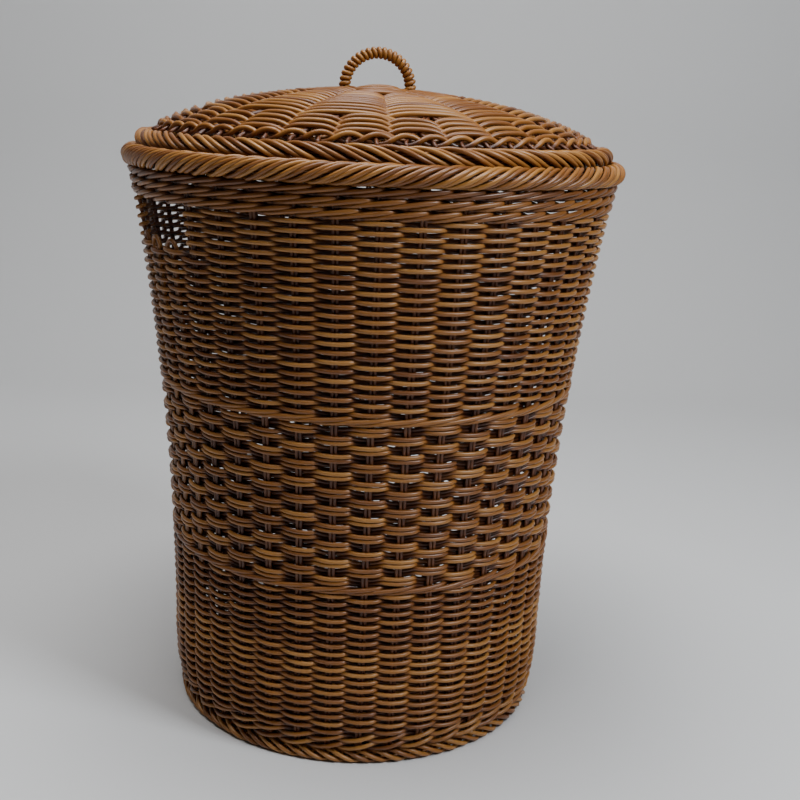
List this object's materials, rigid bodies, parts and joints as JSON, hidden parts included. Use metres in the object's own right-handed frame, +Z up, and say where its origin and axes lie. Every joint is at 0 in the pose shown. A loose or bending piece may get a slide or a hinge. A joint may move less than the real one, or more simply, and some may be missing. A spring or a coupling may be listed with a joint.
{
  "type": "laundry hamper",
  "caption": "Tall round woven laundry hamper with flared sides, hand holes, a rolled rim and a loose domed lid with an arched handle.",
  "frame": {"origin": "centre of the foot, on the floor", "axes": "+Z up through the middle of the hamper and its lid, +X and -X through the two hand holes"},
  "size_m": [0.437, 0.437, 0.5918],
  "materials": {
    "strand": "satin",
    "stake": "satin"
  },
  "bodies": {
    "hamper": {"foot_border": "strand", "foot_wale": "strand", "base_sticks_lower": "stake", "base_sticks_upper": "stake", "base_spokes": "stake", "base_weave": "strand", "side_stakes": "stake", "cut_stakes": "stake", "lower_weave": "strand", "lower_wale": "strand", "middle_weave": "strand", "upper_wale": "strand", "upper_weave": "strand", "front_hole_weave": "strand", "back_hole_weave": "strand", "rim_wale": "strand", "rim_core": "stake", "rim_border": "strand"},
    "lid": {"lid_sticks_lower": "stake", "lid_sticks_upper": "stake", "lid_stakes": "stake", "lid_inner_weave": "strand", "lid_outer_weave": "strand", "lid_edge_weave": "strand", "lid_border_core": "stake", "lid_border": "strand", "handle_core": "stake", "handle_wrap": "strand"}
  },
  "joints": [
    {"name": "lid_lift", "type": "slide", "parent": "hamper", "child": "lid", "axis": [0, 0, 1], "range_m": [0, 0.3]}
  ]
}
